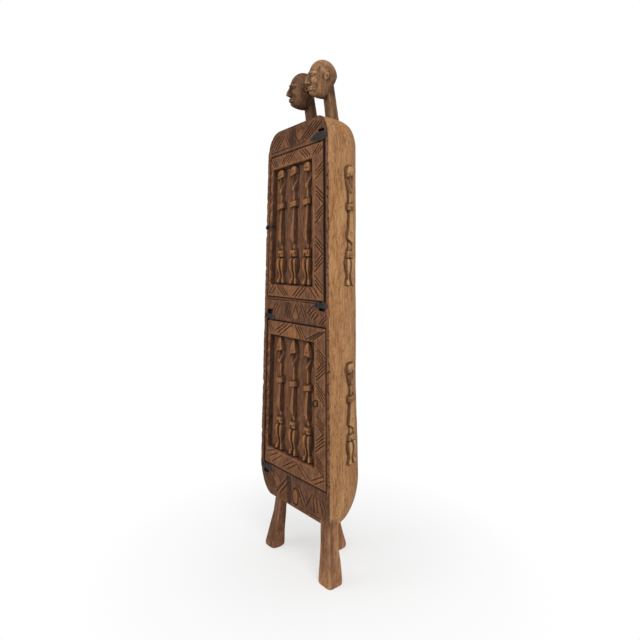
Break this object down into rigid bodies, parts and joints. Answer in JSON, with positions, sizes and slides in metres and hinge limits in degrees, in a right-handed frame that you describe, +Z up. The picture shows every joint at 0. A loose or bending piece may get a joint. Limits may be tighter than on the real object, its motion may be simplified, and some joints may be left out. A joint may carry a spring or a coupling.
{
  "type": "carved wooden cabinet",
  "caption": "Tall narrow cabinet carved from a log, on three legs, with two long-necked heads on top and two pegged doors with standing figures in relief.",
  "frame": {"origin": "on the floor, under the middle of the whole piece's outline", "axes": "+Z up; the doors face -Y; +X is to the right of someone who looks at the doors"},
  "size_m": [0.3674, 0.2446, 1.6449],
  "materials": {
    "wood_case": "adzed and rubbed hardwood, golden brown on the sides and dark reddish brown on the front",
    "wood_door": "carved hardwood with a dark reddish-brown patina, worn lighter on the raised figures",
    "iron": "forged iron, nearly black, dull"
  },
  "bodies": {
    "case": {"carved_case": "wood_case", "upper_door_top_strap": "iron", "upper_door_top_strap_nail_1": "iron", "upper_door_top_strap_nail_2": "iron", "upper_door_bottom_strap": "iron", "upper_door_bottom_strap_nail_1": "iron", "upper_door_bottom_strap_nail_2": "iron", "lower_door_top_strap": "iron", "lower_door_top_strap_nail_1": "iron", "lower_door_top_strap_nail_2": "iron", "lower_door_bottom_strap": "iron", "lower_door_bottom_strap_nail_1": "iron", "lower_door_bottom_strap_nail_2": "iron", "hook_keeper_nail": "iron"},
    "upper_door": {"upper_door": "wood_door", "hook_pivot_nail": "iron"},
    "hook": {"upper_door_hook": "iron"},
    "lower_door": {"lower_door": "wood_door", "lower_door_pull": "iron"}
  },
  "joints": [
    {"name": "upper_door_hinge", "type": "hinge", "parent": "case", "child": "upper_door", "pos_m": [0.13485, -0.09565, 0.872], "axis": [-0.023, 0, 0.9997], "range_deg": [0, 100]},
    {"name": "upper_door_hook_pivot", "type": "hinge", "parent": "upper_door", "child": "hook", "pos_m": [-0.12809, -0.10865, 1.113], "axis": [0, 1, 0], "range_deg": [0, 100]},
    {"name": "lower_door_hinge", "type": "hinge", "parent": "case", "child": "lower_door", "pos_m": [-0.14984, -0.09565, 0.298], "axis": [-0.023, 0, -0.9997], "range_deg": [0, 100]}
  ]
}
